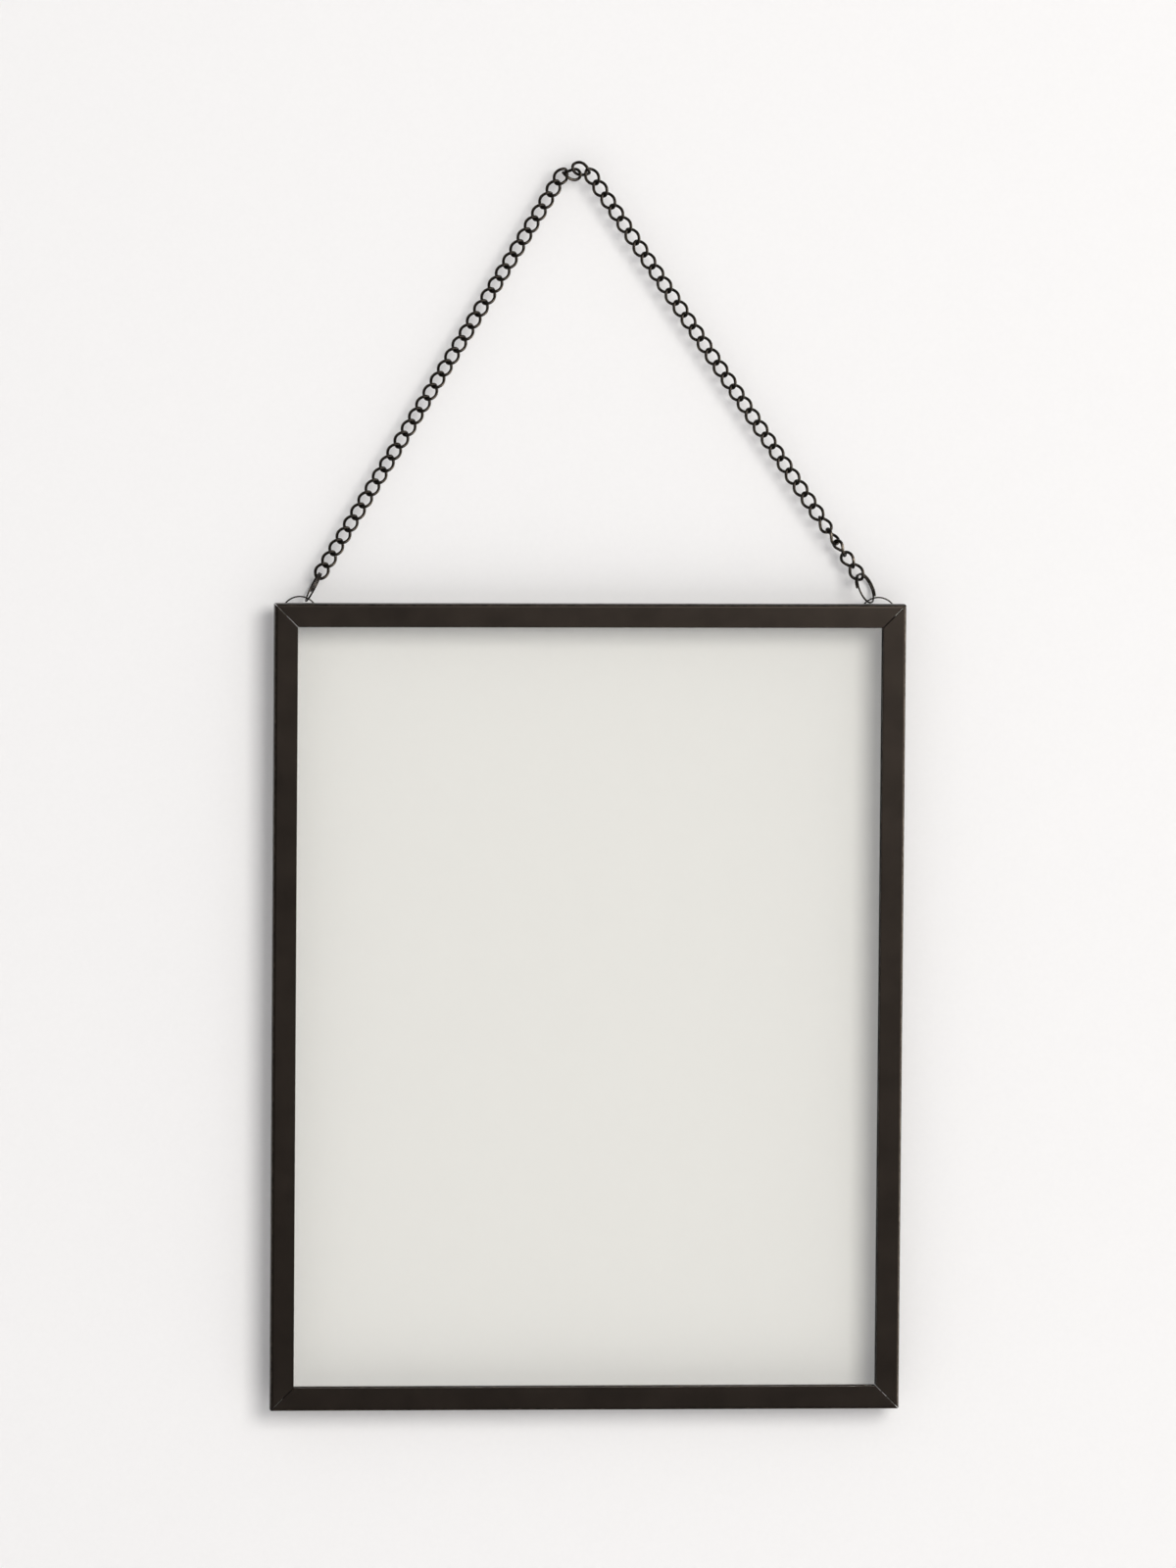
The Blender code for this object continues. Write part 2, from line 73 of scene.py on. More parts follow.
def rounded_outline(corners, radii, steps, support):
    """Closed outline of a polygon with square corners, each turned into a quarter circle.

    With unit vectors p and n from a corner towards its neighbours, the circle's middle is
    corner + r(p + n), and its points are middle - r(n cos a + p sin a) for a from 0 to a right
    angle.  One more point stands on each straight just beyond the circle, to keep it flat.
    """
    corners, radii = np.array(corners, float), np.array(radii, float)[:, None]
    before = np.roll(corners, 1, 0) - corners
    after = np.roll(corners, -1, 0) - corners
    before /= np.linalg.norm(before, axis=1, keepdims=True)
    after /= np.linalg.norm(after, axis=1, keepdims=True)
    angle = np.linspace(0, np.pi / 2, steps + 1)[None, :, None]
    middle = (corners + radii * (before + after))[:, None]
    swing = after[:, None] * np.cos(angle) + before[:, None] * np.sin(angle)
    arcs = middle - radii[:, None] * swing
    first = corners + before * (radii + support)
    last = corners + after * (radii + support)
    return np.concatenate([first[:, None], arcs, last[:, None]], 1).reshape(-1, 2)


def drawn_in(outline, amount):
    """The outline moved inwards along its own normals by each of several amounts."""
    along = np.roll(outline, -1, 0) - np.roll(outline, 1, 0)
    along /= np.linalg.norm(along, axis=1, keepdims=True)
    normal = np.stack([-along[:, 1], along[:, 0]], 1)
    x, y = outline.T
    area = np.sum(x * np.roll(y, -1) - y * np.roll(x, -1))
    return outline + np.sign(area) * normal * np.reshape(amount, (-1, 1, 1))


def surface(name, grids, wrap=(False, True), caps=False, attributes=None):
    """A welded mesh over one or more grids of points, an array of (grids, rows, columns, 3).

    Each four neighbours make a quad; wrap joins the last row or column to the first, and caps
    closes the first and last row with one face each.  attributes are named values per point.
    """
    count, rows, columns, _ = grids.shape
    index = np.arange(count * rows * columns).reshape(count, rows, columns)
    if wrap[0]:
        index = np.concatenate([index, index[:, :1]], 1)
    if wrap[1]:
        index = np.concatenate([index, index[:, :, :1]], 2)
    quads = np.stack([index[:, :-1, :-1], index[:, 1:, :-1], index[:, 1:, 1:], index[:, :-1, 1:]], -1)
    faces = quads.reshape(-1, 4).tolist()
    if caps:
        whole = np.arange(count * rows * columns).reshape(count, rows, columns)
        faces += whole[:, 0, ::-1].tolist() + whole[:, -1].tolist()
    mesh = bpy.data.meshes.new(name)
    mesh.from_pydata(grids.reshape(-1, 3).tolist(), [], faces)
    for key, values in (attributes or {}).items():
        mesh.attributes.new(key, "FLOAT", "POINT").data.foreach_set(
            "value", np.broadcast_to(values, grids.shape[:3]).astype(np.float32).ravel())
    shape = bmesh.new()
    shape.from_mesh(mesh)
    bmesh.ops.remove_doubles(shape, verts=shape.verts, dist=1e-7)
    bmesh.ops.recalc_face_normals(shape, faces=shape.faces)
    shape.to_mesh(mesh)
    shape.free()
    mesh.shade_smooth()
    made = bpy.data.objects.new(name, mesh)
    bpy.context.scene.collection.objects.link(made)
    return made


def about_y(degrees):
    """Rotation about Y as a 3 by 3 matrix: X turns towards -Z."""
    c, s = math.cos(math.radians(degrees)), math.sin(math.radians(degrees))
    return np.array([[c, 0, s], [0, 1, 0], [-s, 0, c]])


def to_bar(side, points):
    """Points of a bar (inwards, back, along) carried to its place in the frame."""
    degrees = BARS[side][0]
    turn = about_y(degrees)
    across = frame_size[0 if side in ("left", "right") else 2] / 2
    corner = np.array([frame_centre[0], frame_low[1], frame_centre[2]]) - turn[:, 0] * across
    return points @ turn.T + corner


def mitred(name, side, outline, edge, gap, wear=None):
    """A bar whose ends follow the mitre: a point at inset x ends at half the side's length - x.

    The last rows draw the outline in by e(1 - cos a) and move it out by e sin a, which rounds
    the sawn edge.
    """
    length = frame_size[2 if side in ("left", "right") else 0]
    turns = np.linspace(0, np.pi / 2, 4)
    inset = np.concatenate([edge * (1 - np.cos(turns[::-1])), [0, 0], edge * (1 - np.cos(turns))])
    flat = [edge + SHEARED_EDGE] * 2
    short = np.concatenate([edge * (1 - np.sin(turns[::-1])), flat, edge * (1 - np.sin(turns))])
    end = np.repeat([-1.0, 1.0], len(inset) // 2)
    rings = drawn_in(outline, inset)
    half = length / 2 - gap / math.sqrt(2) - rings[..., 0] - short[:, None]
    grid = np.concatenate([rings, (end[:, None] * half)[..., None]], 2)
    values = {} if wear is None else {"wear": wear[None, None]}
    return surface(name, to_bar(side, grid)[None], caps=True, attributes=values)


channel = rounded_outline(
    [(FACE, 0), (0, 0), (0, DEPTH), (BACK_FLANGE, DEPTH), (BACK_FLANGE, DEPTH - STEEL),
     (STEEL, DEPTH - STEEL), (STEEL, STEEL), (FACE, STEEL)],
    [SHEARED_EDGE, FOLD_RADIUS, FOLD_RADIUS, SHEARED_EDGE, SHEARED_EDGE, INNER_FOLD, INNER_FOLD,
     SHEARED_EDGE], 6, 0.12 * MM)
FOLD_REACH = 0.9 * MM
to_fold = np.min([np.hypot(channel[:, 0], channel[:, 1] - y) for y in (0, DEPTH)], 0)
to_edge = np.hypot(channel[:, 0] - FACE, channel[:, 1])
fold_wear = np.clip(1 - np.minimum(to_fold - 0.4 * FOLD_RADIUS, 1.5 * to_edge) / FOLD_REACH, 0, 1)


def linear(colour):
    """Linear RGBA of an sRGB hex: v / 12.92 up to 0.04045, and ((v + 0.055) / 1.055)^2.4 above."""
    srgb = np.array([int(colour[i:i + 2], 16) for i in (1, 3, 5)]) / 255
    value = np.where(srgb <= 0.04045, srgb / 12.92, ((srgb + 0.055) / 1.055) ** 2.4)
    return (*value.tolist(), 1.0)


def add_node(tree, kind, links=None, **settings):
    """A new node of that kind, its inputs given a value or joined to another node's output."""
    made = tree.nodes.new(kind)
    for key, value in settings.items():
        setattr(made, key, value)
    for key, value in (links or {}).items():
        if isinstance(value, bpy.types.NodeSocket):
            tree.links.new(value, made.inputs[key])
        else:
            made.inputs[key].default_value = value
    return made


def finish_start(name, **values):
    """A material with one Principled shader, its constant inputs set, and its node tree."""
    made = bpy.data.materials.new(name)
    made.use_nodes = True
    shader = made.node_tree.nodes["Principled BSDF"]
    for key, value in values.items():
        shader.inputs[key.replace("_", " ")].default_value = value
    return made, made.node_tree, shader


def finish_end(tree, shader, **sources):
    """Joins outputs to the shader's inputs, whose names have spaces for underscores."""
    for key, source in sources.items():
        tree.links.new(source, shader.inputs[key.replace("_", " ")])


# Satin bronze lacquer over steel, sprayed in two thin coats: a film filled with dark bronze
# powder, which gives a brown metallic sheen, with a faint mottle where the coats overlap, orange
# peel under a millimetre wide, and paler rubbed patches where folds and edges are handled.
LACQUER_MOTTLE = 14 * MM
ORANGE_PEEL = 0.7 * MM
RUB_GRAIN = 2.2 * MM
lacquer, tree, shader = finish_start("satin_bronze_lacquer", Metallic=0.8, Specular_IOR_Level=0.3)
place = add_node(tree, "ShaderNodeTexCoord").outputs["Object"]
mottle = add_node(tree, "ShaderNodeTexNoise", {"Vector": place, "Scale": 1 / LACQUER_MOTTLE,
                                               "Detail": 4.0, "Roughness": 0.6}).outputs["Fac"]
film = add_node(tree, "ShaderNodeMix", {"Factor": mottle, 6: linear("#16110d"), 7: linear("#1e1813")},
                data_type="RGBA").outputs[2]
rubbed = add_node(tree, "ShaderNodeAttribute", attribute_name="wear").outputs["Fac"]
grain = add_node(tree, "ShaderNodeTexNoise", {"Vector": place, "Scale": 1 / RUB_GRAIN, "Detail": 6.0,
                                              "Roughness": 0.7}).outputs["Fac"]
rub = add_node(tree, "ShaderNodeMath", {0: rubbed, 1: grain}, operation="MULTIPLY").outputs[0]
rub = add_node(tree, "ShaderNodeMapRange", {"Value": rub, "From Min": 0.34, "From Max": 0.66,
                                            "To Max": 0.4}).outputs[0]
colour = add_node(tree, "ShaderNodeMix", {"Factor": rub, 6: film, 7: linear("#5c5349")},
                  data_type="RGBA").outputs[2]
gloss = add_node(tree, "ShaderNodeMapRange", {"Value": mottle, "From Min": 0.3, "From Max": 0.7,
                                              "To Min": 0.36, "To Max": 0.46}).outputs[0]
peel = add_node(tree, "ShaderNodeTexNoise", {"Vector": place, "Scale": 1 / ORANGE_PEEL,
                                             "Detail": 2.0}).outputs["Fac"]
skin = add_node(tree, "ShaderNodeBump", {"Height": peel, "Strength": 0.25,
                                         "Distance": 0.02 * MM}).outputs[0]
finish_end(tree, shader, Base_Color=colour, Roughness=gloss, Normal=skin)

for side, (_, node) in BARS.items():
    bar = mitred("bar_" + side, side, channel, MITRE_EDGE, MITRE_GAP, fold_wear)
    bar.data.materials.append(lacquer)
    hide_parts(node)
    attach(bar, "frame")

# ---------------------------------------------------------------- corner keys inside the channel
# An L of zinc-plated steel strip in each corner, pushed into both channels before brazing.

# Bright zinc plate: pale grey with a faint blue and yellow bloom, and a spangle of fine crystals.
ZINC_CRYSTAL = 0.9 * MM
ZINC_BLOOM = 4 * MM
zinc, tree, shader = finish_start("zinc_plated_steel", Metallic=1.0)
place = add_node(tree, "ShaderNodeTexCoord").outputs["Object"]
crystal = add_node(tree, "ShaderNodeTexVoronoi", {"Vector": place, "Scale": 1 / ZINC_CRYSTAL})
bloom = add_node(tree, "ShaderNodeTexNoise", {"Vector": place, "Scale": 1 / ZINC_BLOOM,
                                              "Detail": 3.0}).outputs["Fac"]
colour = add_node(tree, "ShaderNodeMix", {"Factor": bloom, 6: linear("#a9adb3"), 7: linear("#c3bfae")},
                  data_type="RGBA").outputs[2]
dull = add_node(tree, "ShaderNodeMapRange", {"Value": crystal.outputs["Distance"], "From Max": 0.8,
                                             "To Min": 0.3, "To Max": 0.48}).outputs[0]
finish_end(tree, shader, Base_Color=colour, Roughness=dull)

for name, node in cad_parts.items():
    if name.startswith("corner_key_"):
        node.data.materials.clear()
        node.data.materials.append(zinc)

# ---------------------------------------------------------------- two panes of float glass
# The picture goes between two 2 mm sheets of clear float glass with ground edges; here it is
# empty, so the wall and the frame's own shadow show through.

# Clear soda-lime float: nearly colourless, very smooth, its gloss varying slightly in slow draw
# waves.  Lamps and the room's soft light shine straight through it, as through a thin pane.
DRAW_WAVE = 60 * MM
CLEAR_TINT = linear("#fefefd")
glass, tree, shader = finish_start(
    "clear_float_glass", Base_Color=linear("#fcfcfb"), Transmission_Weight=1.0, IOR=1.5)
place = add_node(tree, "ShaderNodeTexCoord").outputs["Object"]
wave = add_node(tree, "ShaderNodeTexNoise", {"Vector": place, "Scale": 1 / DRAW_WAVE,
                                             "Detail": 1.0}).outputs["Fac"]
smear = add_node(tree, "ShaderNodeMapRange", {"Value": wave, "To Min": 0.0, "To Max": 0.03}).outputs[0]
finish_end(tree, shader, Roughness=smear)
ray = add_node(tree, "ShaderNodeLightPath")
open_ray = add_node(tree, "ShaderNodeMath", {0: ray.outputs["Is Shadow Ray"],
                                             1: ray.outputs["Is Diffuse Ray"]},
                    operation="MAXIMUM").outputs[0]
clear = add_node(tree, "ShaderNodeBsdfTransparent", {"Color": CLEAR_TINT}).outputs[0]
through = add_node(tree, "ShaderNodeMixShader", {0: open_ray, 1: shader.outputs[0], 2: clear}).outputs[0]
tree.links.new(through, tree.nodes["Material Output"].inputs["Surface"])

for name in ("front_pane", "back_pane"):
    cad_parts[name].data.materials.clear()
    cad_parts[name].data.materials.append(glass)

# ---------------------------------------------------------------- retaining strips
# Four loose mitred steel strips lie on the back of the glass, in the channel's back opening.

strip_low, strip_high = (np.array(corner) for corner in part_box("retaining_strip_left"))
STRIP_EDGE = 0.2 * MM
STRIP_WEAR = 0.3
near, far = strip_low[0] - frame_low[0], strip_high[0] - frame_low[0]
front, back = strip_low[1] - frame_low[1], strip_high[1] - frame_low[1]
strip = rounded_outline([(near, front), (far, front), (far, back), (near, back)], [STRIP_EDGE] * 4, 3,
                        0.1 * MM)
for side in BARS:
    bar = mitred("strip_" + side, side, strip, MITRE_EDGE, MITRE_GAP,
                 np.full(len(strip), STRIP_WEAR))
    bar.data.materials.append(lacquer)
    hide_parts("retaining_strip_" + side)
    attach(bar, "frame")

# ---------------------------------------------------------------- turn buttons
# A blanked steel finger in the middle of each bar turns on a rivet and holds the strip in.

BUTTON_INSET = 3.0 * MM
BUTTON_WIDTH = 4.6 * MM
BUTTON_THICKNESS = 1.0 * MM
BUTTON_REACH = 5.8 * MM
BUTTON_HOLE = 1.0 * MM
BUTTON_EDGE = 0.22 * MM
SEAT_GAP = 0.3 * MM
BUTTON_WEAR = 0.55
BUTTON_STEPS = 64
OFF_SEAM = 0.049              # radians, so that no row stands where a cap meets a straight side


def button_grid():
    """Rows round a stadium outline, columns over the plate's section from its hole to its edge.

    The outline runs half the width from a straight line that joins two cap centres, and the
    hole's point lies on the same ray from the rivet; both edges are quarter circles.
    """
    turn = np.linspace(0, 2 * np.pi, BUTTON_STEPS + 1)[:-1] - np.pi / 2 + OFF_SEAM
    normal = np.stack([np.cos(turn), np.sin(turn)], 1)
    cap = np.where(np.cos(turn) > 0, BUTTON_REACH - BUTTON_WIDTH / 2, 0.0)
    edge = normal * BUTTON_WIDTH / 2 + np.stack([cap, 0 * cap], 1)
    hole_normal = edge / np.linalg.norm(edge, axis=1, keepdims=True)
    angle = np.linspace(0, np.pi / 2, 4)
    lip, rise = BUTTON_EDGE * (1 - np.cos(angle)), BUTTON_EDGE * (1 - np.sin(angle))
    inset = np.concatenate([lip[::-1], lip])
    height = np.concatenate([rise[::-1], BUTTON_THICKNESS - rise])
    outer = edge[:, None] - normal[:, None] * inset[None, :, None]
    inner = hole_normal[:, None] * (BUTTON_HOLE + inset[None, ::-1, None])
    flat = np.concatenate([outer, inner], 1)
    high = np.concatenate([height, height[::-1]])
    return np.concatenate([flat, np.broadcast_to(high[None, :, None], flat.shape[:2] + (1,))], 2)


plate = button_grid()
for side in BARS:
    # Plate axes: along the finger is inwards, across it is along the bar, its thickness is back.
    local = np.stack([BUTTON_INSET + plate[..., 0], DEPTH + SEAT_GAP + plate[..., 2],
                      plate[..., 1]], -1)
    button = surface("button_" + side, to_bar(side, local)[None], wrap=(True, True),
                     attributes={"wear": np.array(BUTTON_WEAR)})
    button.data.materials.append(lacquer)
    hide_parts("turn_button_" + side)
    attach(button, "button_" + side)

# ---------------------------------------------------------------- rivets of the turn buttons
# A zinc-plated dome-head rivet through the button and the back flange, spread inside.

RIVET_HEAD, RIVET_HEAD_HEIGHT = 1.5 * MM, 0.6 * MM
RIVET_SHANK, RIVET_TAIL = 0.7 * MM, 1.3 * MM
RIVET_RIM = 0.05 * MM         # how far the head's flat underside stands in from its dome


def turned(outline, steps):
    """A grid of an outline of (radius, height) carried round the height axis."""
    angle = np.linspace(0, 2 * np.pi, steps + 1)[:-1]
    radius, height = outline[:, 0][:, None], outline[:, 1][:, None]
    return np.stack([radius * np.cos(angle), radius * np.sin(angle), height + 0 * angle], -1)


seat = DEPTH + SEAT_GAP + BUTTON_THICKNESS + SEAT_GAP
dome = np.linspace(0, np.pi / 2, 10)
tail = DEPTH - STEEL - SEAT_GAP
rivet_outline = np.concatenate([
    np.stack([RIVET_HEAD * np.sin(dome), seat + RIVET_HEAD_HEIGHT * np.cos(dome)], 1),
    [(RIVET_HEAD - RIVET_RIM, seat), (RIVET_SHANK, seat), (RIVET_SHANK, tail), (RIVET_TAIL, tail),
     (RIVET_TAIL, tail - SEAT_GAP), (0, tail - SEAT_GAP)]])
rivet_grid = turned(rivet_outline, 28)
for side in BARS:
    local = np.stack([BUTTON_INSET + rivet_grid[..., 0], rivet_grid[..., 2], rivet_grid[..., 1]], -1)
    rivet = surface("rivet_" + side, to_bar(side, local)[None])
    rivet.data.set_sharp_from_angle(angle=math.radians(40))
    rivet.data.materials.append(zinc)
    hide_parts("turn_button_rivet_" + side)
    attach(rivet, "frame")

# ---------------------------------------------------------------- hanger tubes and their brazing
# A short steel tube lies across the back of the top rail near each corner, held by a bead of
# brass that has run along both sides of it; the D-ring's straight side turns in its bore.

TUBE_BORE = 0.6 * MM          # radius
TUBE_END = 0.08 * MM          # rounding of the sawn ends
TUBE_WEAR = 0.35
for side in ("left", "right"):
    low, high = (np.array(corner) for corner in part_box("hanger_tube_" + side))
    centre, reach = (low + high) / 2, (high[0] - low[0]) / 2
    radius = (high[2] - low[2]) / 2
    section = rounded_outline(
        [(radius, reach), (radius, -reach), (TUBE_BORE, -reach), (TUBE_BORE, reach)],
        [TUBE_END] * 4, 2, 0.05 * MM)
    ring = turned(section, 32)
    across = np.stack([ring[..., 2], ring[..., 0], ring[..., 1]], -1)
    tube = surface("tube_" + side, (across + centre)[None],
                   wrap=(True, True), attributes={"wear": np.array(TUBE_WEAR)})
    tube.data.materials.append(lacquer)
    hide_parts("hanger_tube_" + side)
    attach(tube, "frame")

BRAZE_LEG = 1.0 * MM        # how far the bead spreads on the flange, from the tube's middle
BRAZE_END = 0.7 * MM        # over which it closes at each end
BRAZE_SHORT = 0.2 * MM      # how far it stops short of the tube's ends
BRAZE_SUNK = 0.02 * MM      # how far its foot goes into the flange


def braze_grid(reach, radius, gap):
    """Rows along a bead, columns round its section, which a fillet's two hollow sides bound.

    Its foot is a line on the flange and its top a chord inside the tube's wall; the sides run
    between them as a cosine, and the whole section shrinks to its ends as a quarter circle.
    """
    s = np.linspace(-1, 1, 25)[:, None]
    to_end = np.clip((np.abs(s) * reach - (reach - BRAZE_END)) / BRAZE_END, 0, 1)
    shrink = np.sqrt(np.clip(1 - to_end ** 2, 0.02, 1))
    t = np.linspace(0, 1, 9)
    width = BRAZE_LEG - (BRAZE_LEG - 0.55 * radius) * np.sin(t * np.pi / 2) ** 0.6
    level = -radius - gap - BRAZE_SUNK + t * (gap + 0.42 * radius)
    across = np.concatenate([width, -width[::-1]])[None] * shrink
    deep = np.concatenate([level, level[::-1]])[None] + 0 * s
    lumps = 1 + 0.05 * np.sin(9 * s + 1) + 0.03 * np.sin(23 * s)
    return np.stack([s * (reach - BRAZE_SHORT) + 0 * deep, deep, across * lumps], -1)


# Silicon-brass braze metal under a thin film of lacquer: warm brown, smooth where it flowed.
BRAZE_FLOW = 0.8 * MM
braze, tree, shader = finish_start("lacquered_braze", Metallic=0.7)
place = add_node(tree, "ShaderNodeTexCoord").outputs["Object"]
flow = add_node(tree, "ShaderNodeTexNoise", {"Vector": place, "Scale": 1 / BRAZE_FLOW,
                                             "Detail": 3.0}).outputs["Fac"]
colour = add_node(tree, "ShaderNodeMix", {"Factor": flow, 6: linear("#2e261c"), 7: linear("#5b4527")},
                  data_type="RGBA").outputs[2]
dull = add_node(tree, "ShaderNodeMapRange", {"Value": flow, "To Min": 0.3, "To Max": 0.55}).outputs[0]
finish_end(tree, shader, Base_Color=colour, Roughness=dull)
for side in ("left", "right"):
    low, high = (np.array(corner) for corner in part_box("hanger_tube_" + side))
    centre, radius = (low + high) / 2, (high[2] - low[2]) / 2
    bead = braze_grid((high[0] - low[0]) / 2, radius, low[1] - frame_high[1])
    piece = surface("braze_" + side, (bead + centre)[None], caps=True)
    piece.data.materials.append(braze)
    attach(piece, "frame")

# ---------------------------------------------------------------- D-rings
# Spring wire bent to a D; its straight side, where the ends meet, turns inside the hanger tube.

D_WIRE, D_RADIUS, D_CORNER = 0.6 * MM, 7.2 * MM, 1.2 * MM


def wire(path, outward, radius, sides=12, squareness=2.0, closed=True):
    """A grid of a wire of that radius along a path, with a row of points at each place.

    The row is the path's point + r(n cos v + b sin v), where n is outward made square to the
    path and b is square to both; above 2, squareness flattens the wire as a superellipse.
    """
    step = np.roll(path, -1, -2) - np.roll(path, 1, -2) if closed else np.gradient(path, axis=-2)
    step /= np.linalg.norm(step, axis=-1, keepdims=True)
    n = outward - np.sum(outward * step, -1, keepdims=True) * step
    n /= np.linalg.norm(n, axis=-1, keepdims=True)
    b = np.cross(step, n)
    v = np.linspace(0, 2 * np.pi, sides + 1)[:-1]
    out, over = (np.sign(f) * np.abs(f) ** (2 / squareness) for f in (np.cos(v), np.sin(v)))
    row = n[..., None, :] * out[:, None] + b[..., None, :] * over[:, None]
    return path[..., None, :] + np.asarray(radius)[..., None, None] * row


def d_path():
    """The D in its plane: a straight, two small corner circles that touch it and the bow."""
    away = math.sqrt((D_RADIUS - D_CORNER) ** 2 - D_CORNER ** 2)
    meet = math.atan2(D_CORNER, away)
    right = np.linspace(-np.pi / 2, meet, 8)
    bow = np.linspace(meet, np.pi - meet, 49)[1:-1]
    x = np.concatenate([np.linspace(-away, away, 13)[1:-1], away + D_CORNER * np.cos(right),
                        D_RADIUS * np.cos(bow), -away - D_CORNER * np.cos(right[::-1])])
    z = np.concatenate([np.zeros(11), D_CORNER + D_CORNER * np.sin(right), D_RADIUS * np.sin(bow),
                        D_CORNER + D_CORNER * np.sin(right[::-1])])
    return np.stack([x, 0 * x, z], 1)


# Blackened spring steel: a thin oxide with a soft sheen, rubbed grey in small random patches.
OXIDE_PATCH = 1.6 * MM
ring_steel, tree, shader = finish_start("blackened_spring_steel", Metallic=0.9)
place = add_node(tree, "ShaderNodeTexCoord").outputs["Object"]
patch = add_node(tree, "ShaderNodeTexNoise", {"Vector": place, "Scale": 1 / OXIDE_PATCH, "Detail": 5.0,
                                              "Roughness": 0.65}).outputs["Fac"]
colour = add_node(tree, "ShaderNodeMix", {"Factor": patch, 6: linear("#120f0c"), 7: linear("#2f2a25")},
                  data_type="RGBA").outputs[2]
dull = add_node(tree, "ShaderNodeMapRange", {"Value": patch, "From Min": 0.3, "From Max": 0.7,
                                             "To Min": 0.26, "To Max": 0.44}).outputs[0]
finish_end(tree, shader, Base_Color=colour, Roughness=dull)

d_middle = {}
for side in ("left", "right"):
    low, high = (np.array(corner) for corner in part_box("d_ring_" + side))
    d_middle[side] = np.array([(low[0] + high[0]) / 2, 0, low[2] + D_WIRE / 2])
    path = d_path()
    centre = np.array([0, 0, 0.4 * D_RADIUS])
    d_ring = surface("bow_" + side, (wire(path, path - centre, D_WIRE / 2) + d_middle[side])[None],
                     wrap=(True, True))
    d_ring.data.materials.append(ring_steel)
    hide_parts("d_ring_" + side)
    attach(d_ring, "d_rings")

# ---------------------------------------------------------------- split rings
# A flat coil of rolled wire joins each D-ring to the chain's lowest link.  The ring leans the
# way the chain pulls it, and the right one has also turned a little about that line.

RING_WIRE, RING_RADIUS, RING_TURNS = 0.7 * MM, 6.1 * MM, 1.6
RING_LEAN, RING_HOOK = 27.0, 25.0           # degrees
RING_RISE = 1.12                # of the wire, from one turn to the next
RING_SLACK, SEAT = 0.3 * MM, 0.3 * MM
CUT_END = 0.35 * MM             # length over which the wire's ends are ground down
ROLLED = 2.6                    # squareness of the rolled wire
RING_POSE = {"left": (-1, 0.0, 1.0), "right": (1, -28.0, 1.2)}   # hand, turn, start in half turns
LINK_WIRE = 1.2 * MM
hook_distance = (D_WIRE + RING_WIRE) / 2 + SEAT + RING_SLACK
eye_distance = (LINK_WIRE + RING_WIRE) / 2 + SEAT + RING_SLACK


def about(axis, degrees):
    """Rotation matrix about the X or the Z axis."""
    c, s = math.cos(math.radians(degrees)), math.sin(math.radians(degrees))
    if axis == "X":
        return np.array([[1, 0, 0], [0, c, -s], [0, s, c]])
    return np.array([[c, -s, 0], [s, c, 0], [0, 0, 1]])


strand_foot = {}
for side, (hand, turn, start) in RING_POSE.items():
    hook = d_middle[side] + D_RADIUS * np.array(
        [-hand * math.sin(math.radians(RING_HOOK)), 0, math.cos(math.radians(RING_HOOK))])
    pull = np.array([-hand * math.sin(math.radians(RING_LEAN)), 0, math.cos(math.radians(RING_LEAN))])
    strand_foot[side] = hook + pull * (2 * RING_RADIUS - hook_distance - eye_distance)
    share = np.linspace(-0.5, 0.5, 121)
    angle = start * np.pi + 2 * np.pi * RING_TURNS * share
    outward = np.stack([0 * angle, np.sin(angle), np.cos(angle)], 1)
    path = outward * RING_RADIUS + np.outer(RING_WIRE * RING_RISE * RING_TURNS * share, [1, 0, 0])
    from_end = (0.5 - np.abs(share)) * 2 * np.pi * RING_TURNS * RING_RADIUS
    taper = np.sqrt(np.clip(1 - (1 - np.clip(from_end / CUT_END, 0, 1)) ** 2, 0.25, 1))
    coil = wire(path, outward, RING_WIRE / 2 * taper, 12, ROLLED, closed=False)
    middle = hook + pull * (RING_RADIUS - hook_distance)
    coil = coil @ (about_y(-hand * RING_LEAN) @ about("Z", turn)).T + middle
    split_ring = surface("coil_" + side, coil[None], caps=True)
    split_ring.data.materials.append(ring_steel)
    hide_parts("split_ring_" + side)
    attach(split_ring, "split_rings")

# ---------------------------------------------------------------- the curb chain
# 34 links a side of 1.2 mm steel wire.  Each is an oval with both ends twisted 45 degrees out of
# its plane, opposite ways, so that the links nest and the chain lies flat.

LINK_HALF_WIDTH = 2.5 * MM
LINK_TWIST = math.radians(45)
LINK_SEAT = 0.3 * MM            # between the wires of two links that turn on each other
LINK_PITCH = 5.6 * MM           # nominal
LINKS = 34
KINK_LINKS = 5                  # the right strand makes a half turn over its lowest links
STRAND_TOP = 170.6 * MM         # above the frame's top
STRAND_TOP_X = {"left": -11.3 * MM, "right": -2.0 * MM}   # from the frame's middle
NODE_LINKS = [1, 5, 5, 5, 1, 1, 5, 5, 5, 1]               # links in each CAD node, upwards
NODE_BODIES = ["lower_chain"] * 5 + ["upper_chain"] * 4 + ["chain_top"]


